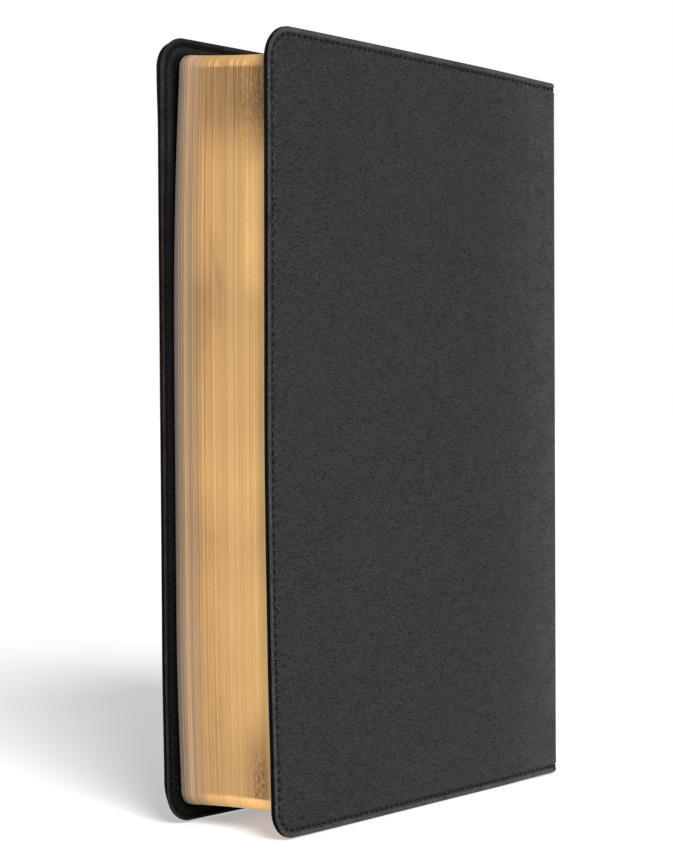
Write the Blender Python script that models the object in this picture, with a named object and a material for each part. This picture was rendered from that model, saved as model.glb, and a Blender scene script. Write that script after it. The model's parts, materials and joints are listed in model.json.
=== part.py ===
"""A limp leather bible standing on its tail, closed, with its covers and text block free to open.

+Z runs from tail to head, +X from the fore edge to the spine, and +Y from the rear cover to the front.
The origin is under the middle of the book, on the surface that it stands on.
"""
import math

import bmesh
import bpy
from mathutils import Vector

MM = 0.001

# Driving dimensions, in millimetres
HEIGHT = 234.0
WIDTH = 155.0
SPINE_THICKNESS = 37.0
FORE_EDGE_THICKNESS = 42.0
COVER_THICKNESS = 2.0
COVER_CORNER = 10.0
LEATHER = 0.9
GAP = 0.2

# The spine, in plan
SPINE_ROUNDING = 1.5
SPINE_CORNER = 3.0
CORNER_MEETS_SPINE = 10.0
HINGE_WIDTH = 9.0
HINGE_GAP = 0.3

# The stitched, turned-in rim
RIM = 5.0
STITCH_INSET = 2.2
GROOVE_HALF_WIDTH = 0.7
GROOVE_DEPTH = 0.75
THREAD_RADIUS = 0.3

# Boards and linings inside the covers
BOARD = 0.3

# The text block
BLOCK_TAIL = 6.8
BLOCK_HEAD = 227.4
BLOCK_FORE_INSET = 3.5
BLOCK_SPINE_INSET = 2.6
BLOCK_CORNER = 5.0
BLOCK_ROUNDING = 1.6
SECTIONS_PER_HALF = 12
CENTRE_LEAVES = 6
LEAF = 0.2

# What holds the text block together at the spine
MULL = 0.25
SPINE_PAPER = 0.25
LINING_INSET = 8.0
SEWING_RADIUS = 0.18
SEWING_INSET = 12.0
HEADBAND_RADIUS = 0.9
HEADBAND_END_INSET = 1.0

# Steps round each corner, and how far a cutter passes through a face
CORNER_STEPS = 8
OVERSHOOT = 1.0

# Worked out from the driving dimensions
REAR_FACE = -FORE_EDGE_THICKNESS / 2
FRONT_FACE_AT_SPINE = REAR_FACE + SPINE_THICKNESS
MIDDLE = REAR_FACE + SPINE_THICKNESS / 2
SPINE_X = WIDTH / 2
PIVOT_X = SPINE_X - SPINE_ROUNDING
COVER_REACH = PIVOT_X + WIDTH / 2
SPLAY = math.asin((FORE_EDGE_THICKNESS - SPINE_THICKNESS) / COVER_REACH)
SPINE_END = SPINE_THICKNESS / 2 - SPINE_CORNER
POCKET_DEPTH = COVER_THICKNESS - LEATHER

COLOURS = {
    "leather": ((0.045, 0.045, 0.046), 0.62),
    "lining": ((0.02, 0.02, 0.02), 0.7),
    "thread": ((0.015, 0.015, 0.016), 0.8),
    "board": ((0.35, 0.29, 0.22), 0.9),
    "gilt_paper": ((0.72, 0.47, 0.22), 0.45),
    "paper": ((0.85, 0.82, 0.74), 0.9),
    "mull": ((0.78, 0.75, 0.68), 0.95),
    "sewing": ((0.86, 0.84, 0.78), 0.85),
    "headband": ((0.10, 0.10, 0.11), 0.7),
}


def clear_scene():
    for old in list(bpy.data.objects):
        bpy.data.objects.remove(old, do_unlink=True)


def own_material(obj, kind):
    """Give the object its own Principled material."""
    colour, roughness = COLOURS[kind]
    material = bpy.data.materials.new(obj.name + "_material")
    material.use_nodes = True
    shader = material.node_tree.nodes["Principled BSDF"]
    shader.inputs["Base Color"].default_value = (*colour, 1.0)
    shader.inputs["Roughness"].default_value = roughness
    shader.inputs["Metallic"].default_value = 0.0
    obj.data.materials.append(material)


def joint_empty(name, x, y, turn=0.0):
    """An empty on a joint's axis, which its moving pieces are parented to."""
    empty = bpy.data.objects.new(name, None)
    empty.location = (x * MM, y * MM, 0.0)
    empty.rotation_euler = (0.0, 0.0, turn)
    bpy.context.collection.objects.link(empty)
    return empty


def add_object(name, data, kind, parent=None):
    obj = bpy.data.objects.new(name, data)
    bpy.context.collection.objects.link(obj)
    own_material(obj, kind)
    obj.parent = parent
    return obj


def prism(name, low, high, kind, parent=None):
    """A closed solid between two matching outlines of (x, y, z) points in millimetres."""
    mesh = bpy.data.meshes.new(name)
    build = bmesh.new()
    bottom = [build.verts.new(Vector(p) * MM) for p in low]
    top = [build.verts.new(Vector(p) * MM) for p in high]
    build.faces.new(bottom)
    build.faces.new(top[::-1])
    for n in range(len(bottom)):
        after = (n + 1) % len(bottom)
        build.faces.new((bottom[n], top[n], top[after], bottom[after]))
    bmesh.ops.recalc_face_normals(build, faces=build.faces)
    build.to_mesh(mesh)
    build.free()
    return add_object(name, mesh, kind, parent)


def strand(name, points, radius, kind, parent=None):
    """A round thread along (x, y, z) points in millimetres."""
    curve = bpy.data.curves.new(name, "CURVE")
    curve.dimensions = "3D"
    curve.bevel_depth = radius * MM
    curve.bevel_resolution = 1
    curve.use_fill_caps = True
    spline = curve.splines.new("POLY")
    spline.points.add(len(points) - 1)
    for place, point in zip(spline.points, points):
        place.co = (*(Vector(point) * MM), 1.0)
    return add_object(name, curve, kind, parent)


def cut(obj, cutter):
    """Take the cutter's shape out of the object."""
    cutter.parent = obj.parent
    cutter.hide_render = True
    cutter.display_type = "WIRE"
    boolean = obj.modifiers.new("cut_" + cutter.name, "BOOLEAN")
    boolean.operation = "DIFFERENCE"
    boolean.solver = "EXACT"
    boolean.object = cutter


def arc(centre, radius, start, end, steps):
    """Points along an arc, with its angles in degrees."""
    points = []
    for n in range(steps + 1):
        angle = math.radians(start + (end - start) * n / steps)
        points.append((centre[0] + radius * math.cos(angle), centre[1] + radius * math.sin(angle)))
    return points


def cover_path(inset, end):
    """The cover's edge as (distance from the hinge, height): tail, round the fore edge, and back."""
    radius = COVER_CORNER - inset
    reach = COVER_REACH - inset
    path = [(end, inset)]
    path += arc((reach - radius, inset + radius), radius, -90, 0, CORNER_STEPS)
    path += arc((reach - radius, HEIGHT - inset - radius), radius, 0, 90, CORNER_STEPS)
    path.append((end, HEIGHT - inset))
    return path


def cover_points(side, path, depth):
    """Put a cover outline at a depth under the outer face; side is 1 for the front, -1 for the rear."""
    return [(-reach, -side * depth, height) for reach, height in path]


def cover_plate(name, side, path, outer, inner, kind, parent):
    """A flat piece of a cover between two depths under its outer face."""
    low = cover_points(side, path, outer)
    high = cover_points(side, path, inner)
    return prism(name, low, high, kind, parent)


def make_cover(label, side, hinge):
    """Leather with a turned-in rim, the board and lining in its pocket, and the thread in its groove."""
    through = HINGE_WIDTH - 2 * RIM
    leather_path = cover_path(0, HINGE_WIDTH)
    leather = cover_plate(
        label + "_cover_leather", side, leather_path, 0, COVER_THICKNESS, "leather", hinge
    )
    pocket_path = cover_path(RIM, through)
    pocket = cover_plate(
        label + "_pocket_cutter", side, pocket_path, LEATHER, COVER_THICKNESS + OVERSHOOT, "lining", hinge
    )
    cut(leather, pocket)
    near_edge = cover_path(STITCH_INSET - GROOVE_HALF_WIDTH, through)
    far_edge = cover_path(STITCH_INSET + GROOVE_HALF_WIDTH, through)
    groove_path = near_edge + far_edge[::-1]
    groove = cover_plate(
        label + "_groove_cutter", side, groove_path, -OVERSHOOT, GROOVE_DEPTH, "lining", hinge
    )
    cut(leather, groove)

    inside = cover_path(RIM + GAP, HINGE_WIDTH)
    board_top = LEATHER + GAP
    lining_top = board_top + BOARD + GAP
    cover_plate(
        label + "_cover_board", side, inside, board_top, board_top + BOARD, "board", hinge
    )
    cover_plate(
        label + "_cover_lining", side, inside, lining_top, COVER_THICKNESS, "lining", hinge
    )
    thread_path = cover_path(STITCH_INSET, HINGE_WIDTH)
    thread_points = cover_points(side, thread_path, THREAD_RADIUS)
    strand(label + "_cover_stitching", thread_points, THREAD_RADIUS, "thread", hinge)


def spine_x(y, depth=0.0):
    """How far out the rounded spine reaches at y, at a depth under its outer surface."""
    across = (y - MIDDLE) / SPINE_END
    return SPINE_X - depth - SPINE_ROUNDING * across * across


def spine_path(depth, reach):
    """The skin round the spine in plan, at a depth under its outer surface, rear hinge to front hinge."""
    radius = SPINE_CORNER - depth
    rear = (PIVOT_X - SPINE_CORNER, REAR_FACE + SPINE_CORNER)
    front = (PIVOT_X - SPINE_CORNER, FRONT_FACE_AT_SPINE - SPINE_CORNER)
    path = [(PIVOT_X - reach, REAR_FACE + depth)]
    path += arc(rear, radius, -90, -CORNER_MEETS_SPINE, CORNER_STEPS)
    steps = 2 * CORNER_STEPS
    for n in range(1, steps):
        y = MIDDLE - SPINE_END + 2 * SPINE_END * n / steps
        path.append((spine_x(y, depth), y))
    path += arc(front, radius, CORNER_MEETS_SPINE, 90 - math.degrees(SPLAY), CORNER_STEPS)
    lean = Vector((-math.cos(SPLAY), math.sin(SPLAY)))
    inward = Vector((-math.sin(SPLAY), -math.cos(SPLAY)))
    end = Vector((PIVOT_X, FRONT_FACE_AT_SPINE)) + lean * reach + inward * depth
    path.append((end.x, end.y))
    return path


def spine_band(name, outer, inner, tail, head, reach, kind, parent=None):
    """A skin that follows the spine between two depths and two heights."""
    outline = spine_path(outer, reach) + spine_path(inner, reach)[::-1]
    low = [(x, y, tail) for x, y in outline]
    high = [(x, y, head) for x, y in outline]
    return prism(name, low, high, kind, parent)


def make_spine_leather():
    """The leather over the spine and both hinges, doubled where it is turned in at head and tail."""
    reach = HINGE_WIDTH - HINGE_GAP
    past = HINGE_WIDTH + 2 * RIM
    leather = spine_band("spine_leather", 0, COVER_THICKNESS, 0, HEIGHT, reach, "leather")
    thin = spine_band(
        "thin_cutter", LEATHER, SPINE_CORNER - GAP, RIM, HEIGHT - RIM, past, "leather"
    )
    cut(leather, thin)
    for label, height in (("tail", STITCH_INSET), ("head", HEIGHT - STITCH_INSET)):
        low = height - GROOVE_HALF_WIDTH
        high = height + GROOVE_HALF_WIDTH
        groove = spine_band(label + "_groove", -OVERSHOOT, GROOVE_DEPTH, low, high, past, "leather")
        cut(leather, groove)
        points = [(x, y, height) for x, y in spine_path(THREAD_RADIUS, reach)]
        strand("spine_" + label + "_stitching", points, THREAD_RADIUS, "thread")


def make_spine_linings():
    """The cloth mull on the folds, and the lining paper between it and the leather."""
    half = SPINE_END
    layers = (
        ("spine_lining_paper", LEATHER + GAP, SPINE_PAPER, "paper"),
        ("spine_mull", LEATHER + 2 * GAP + SPINE_PAPER, MULL, "mull"),
    )
    steps = 2 * CORNER_STEPS
    for name, depth, thickness, kind in layers:
        outer = []
        inner = []
        for n in range(steps + 1):
            y = MIDDLE - half + 2 * half * n / steps
            outer.append((spine_x(y, depth), y))
            inner.append((spine_x(y, depth + thickness), y))
        outline = outer + inner[::-1]
        low = [(x, y, BLOCK_TAIL + LINING_INSET) for x, y in outline]
        high = [(x, y, BLOCK_HEAD - LINING_INSET) for x, y in outline]
        prism(name, low, high, kind)


def block_layers():
    """The text block's layers from rear to front, as (name, is it a sewn section)."""
    layers = [("rear_flyleaf", False)]
    layers += [(f"rear_section_{n:02d}", True) for n in range(1, SECTIONS_PER_HALF + 1)]
    layers += [(f"centre_leaf_{n}", False) for n in range(1, CENTRE_LEAVES + 1)]
    layers += [(f"front_section_{n:02d}", True) for n in range(1, SECTIONS_PER_HALF + 1)]
    layers.append(("front_flyleaf", False))
    return layers


def layer_edges(thickness):
    """Each layer's lower and upper y, where the covers lie this far apart."""
    layers = block_layers()
    leaves = sum(not sewn for name, sewn in layers)
    sections = len(layers) - leaves
    free = thickness - GAP * (len(layers) + 1) - LEAF * leaves
    section = free / sections
    edges = []
    y = REAR_FACE + COVER_THICKNESS + GAP
    for name, sewn in layers:
        after = y + (section if sewn else LEAF)
        edges.append((y, after))
        y = after + GAP
    return edges


def page_outline(shift):
    """A leaf's outline as (x, z), with the two fore-edge corners rounded."""
    fore = -WIDTH / 2 + BLOCK_FORE_INSET + shift
    spine = SPINE_X - BLOCK_SPINE_INSET - BLOCK_ROUNDING + shift
    tail = (fore + BLOCK_CORNER, BLOCK_TAIL + BLOCK_CORNER)
    head = (fore + BLOCK_CORNER, BLOCK_HEAD - BLOCK_CORNER)
    outline = [(spine, BLOCK_HEAD)]
    outline += arc(head, BLOCK_CORNER, 90, 180, CORNER_STEPS)
    outline += arc(tail, BLOCK_CORNER, 180, 270, CORNER_STEPS)
    outline.append((spine, BLOCK_TAIL))
    return outline


def section_shift(y):
    """How far the rounded back carries a layer towards the spine, from its y at the spine."""
    half = SPINE_THICKNESS / 2 - COVER_THICKNESS
    across = (y - MIDDLE) / half
    return BLOCK_ROUNDING * (1 - across * across)


def make_text_block(parents):
    """Sections and leaves, fanned out a little from the spine to the fore edge."""
    lean = math.tan(SPLAY)
    far_x = -WIDTH / 2
    inner = SPINE_THICKNESS - 2 * COVER_THICKNESS
    at_spine = layer_edges(inner)
    at_fore = layer_edges(inner + (PIVOT_X - far_x) * lean)
    for (name, sewn), near, far in zip(block_layers(), at_spine, at_fore):
        shift = section_shift((near[0] + near[1]) / 2)
        faces = []
        for side in (0, 1):
            slope = (far[side] - near[side]) / (PIVOT_X - far_x)
            face = []
            for x, z in page_outline(shift):
                face.append((x, near[side] + slope * (PIVOT_X - x), z))
            faces.append(face)
        parent = parents[name.rsplit("_", 1)[0]] if sewn else parents[name]
        place = parent.location / MM if parent else Vector((0, 0, 0))
        low = [tuple(Vector(p) - place) for p in faces[0]]
        high = [tuple(Vector(p) - place) for p in faces[1]]
        prism(name, low, high, "gilt_paper" if sewn else "paper", parent)


def make_sewing(label, parent):
    """One thread that runs up a section's fold, links to the next section, and runs back down."""
    points = []
    inner = SPINE_THICKNESS - 2 * COVER_THICKNESS
    ends = [BLOCK_TAIL + SEWING_INSET, BLOCK_HEAD - SEWING_INSET]
    place = parent.location / MM if parent else Vector((0, 0, 0))
    for (name, sewn), (low, high) in zip(block_layers(), layer_edges(inner)):
        if not sewn or not name.startswith(label):
            continue
        y = (low + high) / 2
        fold = SPINE_X - BLOCK_SPINE_INSET - BLOCK_ROUNDING + section_shift(y)
        for z in ends:
            points.append(Vector((fold + GAP + SEWING_RADIUS, y, z)) - place)
        ends.reverse()
    strand(label + "_sewing_thread", points, SEWING_RADIUS, "sewing", parent)


def make_headband(label, height):
    """A corded band across the folds at one end of the spine."""
    depth = BLOCK_SPINE_INSET + HEADBAND_RADIUS
    half = SPINE_END - HEADBAND_END_INSET
    points = []
    for n in range(CORNER_STEPS + 1):
        y = MIDDLE - half + 2 * half * n / CORNER_STEPS
        points.append((spine_x(y, depth), y, height))
    strand(label + "band", points, HEADBAND_RADIUS, "headband")


def main():
    clear_scene()
    opening = joint_empty("open_at_middle_axis", SPINE_X, MIDDLE)
    front_hinge = joint_empty("front_cover_axis", PIVOT_X, FRONT_FACE_AT_SPINE, -SPLAY)
    rear_hinge = joint_empty("rear_cover_axis", PIVOT_X, REAR_FACE)
    front_leaf = joint_empty("front_flyleaf_axis", PIVOT_X, FRONT_FACE_AT_SPINE)

    make_cover("front", 1, front_hinge)
    make_cover("rear", -1, rear_hinge)
    make_spine_leather()
    make_spine_linings()

    parents = {
        "rear_flyleaf": rear_hinge,
        "front_flyleaf": front_leaf,
        "rear_section": None,
        "front_section": opening,
    }
    for n in range(1, CENTRE_LEAVES + 1):
        parents[f"centre_leaf_{n}"] = opening
    make_text_block(parents)
    make_sewing("rear", None)
    make_sewing("front", opening)
    make_headband("head", BLOCK_HEAD + GAP + HEADBAND_RADIUS)
    make_headband("tail", BLOCK_TAIL - GAP - HEADBAND_RADIUS)


main()
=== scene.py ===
"""The looks of a limp black leather bible with gilt edges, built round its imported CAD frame."""
import json
from math import asin, cos, pi, radians, sin, sqrt, tan

import bmesh
import bpy
import numpy as np
from mathutils import Matrix, Vector, noise


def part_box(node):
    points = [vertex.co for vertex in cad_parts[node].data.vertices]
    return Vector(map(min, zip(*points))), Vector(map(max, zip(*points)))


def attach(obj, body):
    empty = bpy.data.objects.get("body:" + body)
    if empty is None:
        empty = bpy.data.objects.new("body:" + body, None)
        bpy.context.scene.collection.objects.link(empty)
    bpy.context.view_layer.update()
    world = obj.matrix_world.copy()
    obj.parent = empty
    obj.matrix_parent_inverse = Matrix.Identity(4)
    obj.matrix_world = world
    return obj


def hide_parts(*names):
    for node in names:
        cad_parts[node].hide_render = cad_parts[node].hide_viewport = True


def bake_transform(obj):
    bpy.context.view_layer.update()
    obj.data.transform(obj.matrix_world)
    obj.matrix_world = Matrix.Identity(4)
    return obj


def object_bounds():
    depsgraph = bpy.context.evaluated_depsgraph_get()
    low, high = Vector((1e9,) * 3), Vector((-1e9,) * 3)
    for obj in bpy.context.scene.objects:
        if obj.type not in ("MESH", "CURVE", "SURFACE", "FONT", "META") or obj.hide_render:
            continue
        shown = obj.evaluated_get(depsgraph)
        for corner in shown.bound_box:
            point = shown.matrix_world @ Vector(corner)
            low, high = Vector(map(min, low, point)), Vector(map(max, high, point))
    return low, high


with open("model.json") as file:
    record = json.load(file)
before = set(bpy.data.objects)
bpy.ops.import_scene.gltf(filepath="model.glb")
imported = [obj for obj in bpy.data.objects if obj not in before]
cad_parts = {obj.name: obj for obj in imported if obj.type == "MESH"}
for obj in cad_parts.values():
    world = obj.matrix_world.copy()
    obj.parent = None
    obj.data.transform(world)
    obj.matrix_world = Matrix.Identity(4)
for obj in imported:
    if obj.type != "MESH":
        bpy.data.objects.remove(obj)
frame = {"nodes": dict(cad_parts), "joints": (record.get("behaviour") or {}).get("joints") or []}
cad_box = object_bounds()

MM = 0.001
PIVOTS = {joint["name"]: Vector(joint["pos_m"]) for joint in frame["joints"]}

# ---- the book's own measures, from the frame
LOW, HIGH = Vector(cad_box[0]), Vector(cad_box[1])
HEIGHT = HIGH.z
FRONT_PIVOT, REAR_PIVOT = PIVOTS["front_cover_hinge"], PIVOTS["rear_cover_hinge"]
MIDDLE_PIVOT = PIVOTS["open_at_middle"]
COVER_REACH = REAR_PIVOT.x - LOW.x
COVER_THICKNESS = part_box("rear_cover_leather")[1].y - LOW.y
SPLAY = asin((HIGH.y - FRONT_PIVOT.y) / COVER_REACH)
HINGE = REAR_PIVOT.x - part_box("rear_cover_leather")[1].x
# Each cover's pivot and lean: 1 is the front cover and -1 the rear one, here and below.
HINGES = {1: (FRONT_PIVOT, SPLAY), -1: (REAR_PIVOT, 0.0)}
BLOCK_LOW, BLOCK_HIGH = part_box("rear_section_12")
SPINE_THICKNESS = FRONT_PIVOT.y - LOW.y
BLOCK_DEPTH = SPINE_THICKNESS - 2 * COVER_THICKNESS

# ---- detail that only the looks need
# Corner radii at tail and head of each cover's two layers.
OUTER_CORNER = {-1: (8.6 * MM, 10.4 * MM), 1: (12.5 * MM, 8.4 * MM)}
INNER_CORNER = {-1: (8.6 * MM, 10.4 * MM), 1: (10 * MM, 10 * MM)}
# How far each cover's outer layer has slipped down and out at its upper fore corner.
SLIP = {-1: 0.0, 1: 1.35 * MM}
SLIP_OUT = {-1: 0.0, 1: 0.5 * MM}
SLIPPED_UP = (HEIGHT - 30 * MM, HEIGHT - 9 * MM)
SLIPPED_OUT = (COVER_REACH - 34 * MM, COVER_REACH - 14 * MM)
SHARPEST_CORNER = 0.4 * MM
STITCH_PITCH, STITCH_LENGTH, STITCH_INSET, THREAD_WIDTH = 2.6 * MM, 1.75 * MM, 2.2 * MM, 0.56 * MM
SPINE_CORNER, SPINE_ROUNDING, BLOCK_CORNER = 3.0 * MM, 1.5 * MM, 4.2 * MM
LEAVES_PER_SECTION, SECTIONS_PER_HALF, CENTRE_LEAVES = 6, 12, 6

# How far the book has settled as it stands, in millimetres at the fore edge.
LEAN, LEAN_LESS_AT_FRONT, LEAN_AT_FOOT = 1.55, 1.15, 0.65
GAPE, GAPE_BACK, HEAD_BACK = 0.95, 0.45, 0.2
FRONT_LIFT, SPINE_DRAW = 0.45, 0.45
DROOP, CORNER_DROOP = 0.15, 0.45
REAR_CORNER_LIFT, FRONT_TAIL_LIFT = 0.5, 0.38


def between(low, high, value):
    """A share from 0 at low to 1 at high, and no further."""
    return np.clip((value - low) / (high - low), 0, 1)


def smoothstep(low, high, value):
    """A share from 0 at low to 1 at high, level at both ends."""
    share = between(low, high, value)
    return share * share * (3 - 2 * share)


# ---- mesh helpers
def mesh_object(name, points, faces, materials, slots=None, sharp=180):
    """A mesh in the row frame, facing outward, with edges sharp past an angle in degrees."""
    mesh = bpy.data.meshes.new(name)
    mesh.from_pydata([tuple(point) for point in points], [], faces)
    for material in materials:
        mesh.materials.append(material)
    if slots is not None:
        mesh.polygons.foreach_set("material_index", slots)
    mesh.shade_smooth()
    mesh.validate()
    shape = bmesh.new()
    shape.from_mesh(mesh)
    bmesh.ops.recalc_face_normals(shape, faces=shape.faces)
    shape.to_mesh(mesh)
    shape.free()
    if sharp < 180:
        mesh.set_sharp_from_angle(angle=radians(sharp))
    obj = bpy.data.objects.new(name, mesh)
    bpy.context.collection.objects.link(obj)
    return obj


def grid_faces(rows, columns, first=0, close_columns=False):
    """Quads between consecutive rows of a grid of points."""
    faces = []
    for start in range(first, first + (rows - 1) * columns, columns):
        for column in range(columns if close_columns else columns - 1):
            here, after = start + column, start + (column + 1) % columns
            faces.append((here, after, after + columns, here + columns))
    return faces


def row_face(row, columns, first=0):
    """One face round a whole row of a grid of points."""
    start = first + row * columns
    return tuple(range(start, start + columns))


def row_ends(rows, columns, first=0):
    """The first point of each row of a grid, and the last one of each."""
    starts = [first + row * columns for row in range(rows)]
    return starts, [start + columns - 1 for start in starts]


def tube_faces(rings, sides, first=0):
    """Quads round a tube of rings of points, and its two flat ends."""
    ends = [row_face(0, sides, first), row_face(rings - 1, sides, first)]
    return grid_faces(rings, sides, first, close_columns=True) + ends


def across_faces(columns, steps, first=0):
    """Quads from one long side of a closed ring of points to the other, beginning at its first point."""
    last = first + columns - 1
    return [(first + step, first + step + 1, last - step - 1, last - step) for step in range(steps)]


def circle(sides):
    """The cosine and sine of evenly spaced angles, once round."""
    angles = 2 * pi * np.arange(sides) / sides
    return list(zip(np.cos(angles), np.sin(angles)))


def soft_noise(points, scale, seed):
    """Smooth noise from -1 to 1 at each point, with features of about 1 / scale metres."""
    offset = Vector((seed * 3.7, seed * 1.3, seed * 2.1))
    return np.array([noise.noise(Vector(point) * scale + offset) for point in points])


def settled(points):
    """The slight twist of a limp book standing on its tail: its foot leans, its head gapes and droops."""
    points = np.array(points, float)
    reach, across = between(HIGH.x, LOW.x, points[:, 0]), between(LOW.y, HIGH.y, points[:, 1])
    height = points[:, 2] / HEIGHT
    lean = smoothstep(0.55, 0.0, height) * (LEAN - LEAN_LESS_AT_FRONT * across)
    lean += smoothstep(0.22, 0.0, height) * LEAN_AT_FOOT
    gape = smoothstep(0.35, 0.9, height) * (GAPE * across - GAPE_BACK)
    points[:, 1] += reach ** 2 * (gape - lean - HEAD_BACK * (1 - across)) * MM
    drawn = SPINE_DRAW * smoothstep(0.3, 0.0, reach) * (1 - 2 * height)
    droop = smoothstep(0.6, 1.0, height) * (1 - across) * (DROOP + CORNER_DROOP * reach ** 4)
    raised = REAR_CORNER_LIFT * (1 - across) * reach ** 8
    raised += FRONT_TAIL_LIFT * across * reach * (1 - reach ** 16)
    raised *= smoothstep(0.12, 0.0, height)
    points[:, 2] += (FRONT_LIFT * across * reach + drawn - droop + raised) * MM
    return points


# ---- the leather covers
# Each pair is (distance in from the cover's edge, depth under its outer face), in millimetres.
OUTER_RIM = (
    (6.4, 0.0), (5.2, -0.02), (4.2, -0.06), (3.5, -0.06), (3.1, 0.03), (2.8, 0.2), (2.5, 0.46),
    (2.2, 0.58), (1.9, 0.46), (1.6, 0.15), (1.25, -0.04), (0.9, -0.05), (0.56, 0.03), (0.28, 0.18),
    (0.08, 0.38), (0.0, 0.56),
)
EDGE_GROOVE = ((0.03, 0.72), (0.16, 0.84), (0.5, 0.92), (0.5, 1.04), (0.16, 1.12), (0.03, 1.24))
INNER_RIM = (
    (0.0, 1.42), (0.06, 1.62), (0.2, 1.82), (0.5, 1.98), (0.86, 2.06), (1.25, 2.05), (1.6, 1.9),
    (1.9, 1.62), (2.2, 1.54), (2.5, 1.62), (2.8, 1.84), (3.1, 1.95), (3.4, 1.99), (4.0, 1.97),
    (4.8, 1.84), (6.0, 1.6), (8.0, 1.2),
)
# From this ring inward the skin takes the lining's darker material: edge ink on the edge, painted shade on
# the turned-in rim.
FIRST_INK_AND_SHADE_ROW = 14
# How rubbed each ring of the rim is, with a painted highlight along its bead and edge ridge: all round,
# and, lighter still, only near the head of the front cover.
RUBBED_AND_HIGHLIGHT_ROWS = {9: 0.6, 10: 1.3, 11: 1.6, 12: 1.2, 13: 0.85, 23: 0.7, 24: 1.0, 25: 0.4}
LIGHTER_AT_HEAD = {
    14: 0.5, 15: 0.7, 22: 0.5, 25: 0.6, 26: 0.8, 27: 0.8, 28: 0.5, 32: 0.5, 33: 0.8, 34: 0.8,
    35: 0.6, 36: 0.3,
}
AT_HEAD = (HEIGHT - 60 * MM, HEIGHT - 20 * MM)
# How much less each ring is rubbed and carries its painted highlight along the fore edge.
LESS_AT_FORE_EDGE = {9: 0.6, 10: 1.3, 11: 1.55, 12: 0.7, 13: -0.15}
AT_FORE_EDGE = (COVER_REACH - 10 * MM, COVER_REACH - 3 * MM)
# How much rounder the bead along the fore edge is, in millimetres.
BEAD_ROUNDING, BEAD_MIDDLE, BEAD_SPREAD = 0.2, 1.45, 0.75
# The leather is rubbed most near the spine, where it is held, and is painted a little lighter toward the
# head as if lit from above: painted light.
SPINE_WEAR, HEAD_PAINTED_LIGHT, HELD_WIDTH, RIM_HELD = 1.2, 0.14, 52 * MM, 0.6
TAIL_STEPS, CORNER_STEPS, FORE_STEPS = 208, 48, 328
COARSE = 4
# (how far round the corner, height in millimetres) of each fold in the turned-in leather.
PLEATS = ((0.1, 0.16), (0.23, 0.3), (0.38, 0.42), (0.52, 0.34), (0.66, 0.4), (0.8, 0.24), (0.92, 0.14))
PLEAT_WIDTH = 0.03
# How much each stitch pulls the leather down in the seam, and how wide the seam is, in millimetres.
OUTER_PULL, INNER_PULL, SEAM_WIDTH = 0.26, 0.22, 0.75
# Insets in millimetres of the flat rows inside the rim, as far as the cover's middle.
SKIN_INSETS = (*np.linspace(7.5, 20, 9), *np.linspace(24, 112, 20), 116.4)
LINING_INSETS = (*np.linspace(7.5, 20, 6), *np.linspace(26, 112, 14), 116.4)
LINING_EDGE, LINING_DEPTH = ((5.0, 1.7), (5.08, 1.92), (5.3, 2.02)), 2.02
# (features in a metre, seed, height in millimetres) of the unevenness of a cover's panel.
WAVES = ((22, 1, 0.28), (55, 2, 0.12))


def cover_line(inset, side, outer):
    """Points (distance from the hinge, height) along one layer's edge at an inset, tail to head."""
    radii = (OUTER_CORNER if outer else INNER_CORNER)[side]
    low_radius, high_radius = [max(radius - inset, SHARPEST_CORNER) for radius in radii]
    reach, top = COVER_REACH - inset, HEIGHT - inset
    low_centre = (reach - low_radius, inset + low_radius)
    high_centre = (reach - high_radius, top - high_radius)
    turn = np.radians(np.linspace(0, 90, CORNER_STEPS, endpoint=False))[:, None]
    tail = np.linspace((HINGE, inset), (low_centre[0], inset), TAIL_STEPS, endpoint=False)
    low_arc = low_centre + low_radius * np.hstack([np.sin(turn), -np.cos(turn)])
    fore = np.linspace((reach, low_centre[1]), (reach, high_centre[1]), FORE_STEPS, endpoint=False)
    high_arc = high_centre + high_radius * np.hstack([np.cos(turn), np.sin(turn)])
    head = np.linspace((high_centre[0], top), (HINGE, top), TAIL_STEPS + 1)
    line = np.vstack([tail, low_arc, fore, high_arc, head])
    if outer:
        at_corner = smoothstep(*SLIPPED_UP, line[:, 1]) * smoothstep(*SLIPPED_OUT, line[:, 0])
        line[:, 1] -= SLIP[side] * at_corner
        line[:, 0] += SLIP_OUT[side] * at_corner
    return line


def line_lengths(line):
    """Distance along a line of points, from its start."""
    steps = np.linalg.norm(np.diff(line, axis=0), axis=1)
    return np.concatenate([[0], np.cumsum(steps)])


def corner_share(columns):
    """How far each column is through its rounded corner, 0 to 1, or -1 where it is on a straight."""
    share = -np.ones(columns)
    for first in (TAIL_STEPS, TAIL_STEPS + CORNER_STEPS + FORE_STEPS):
        share[first:first + CORNER_STEPS + 1] = np.linspace(0, 1, CORNER_STEPS + 1)
    return share


def place_cover(side, reach, height, depth):
    """Row-frame points of a cover."""
    pivot, lean = HINGES[side]
    x = pivot.x - reach * cos(lean) - depth * sin(lean)
    y = pivot.y + side * (reach * sin(lean) - depth * cos(lean))
    return np.stack([x, y, height], axis=-1)


def cover_waves(reach, height):
    """The panel's own gentle unevenness, fading out at its edge and hinge."""
    points = np.stack([reach, height, 0 * height], axis=-1)
    broad = sum(soft_noise(points, scale, seed) * size for scale, seed, size in WAVES)
    edge = np.minimum(np.minimum(height, HEIGHT - height), COVER_REACH - reach)
    return broad * MM * smoothstep(1 * MM, 14 * MM, edge) * smoothstep(HINGE, HINGE + 12 * MM, reach)


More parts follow.
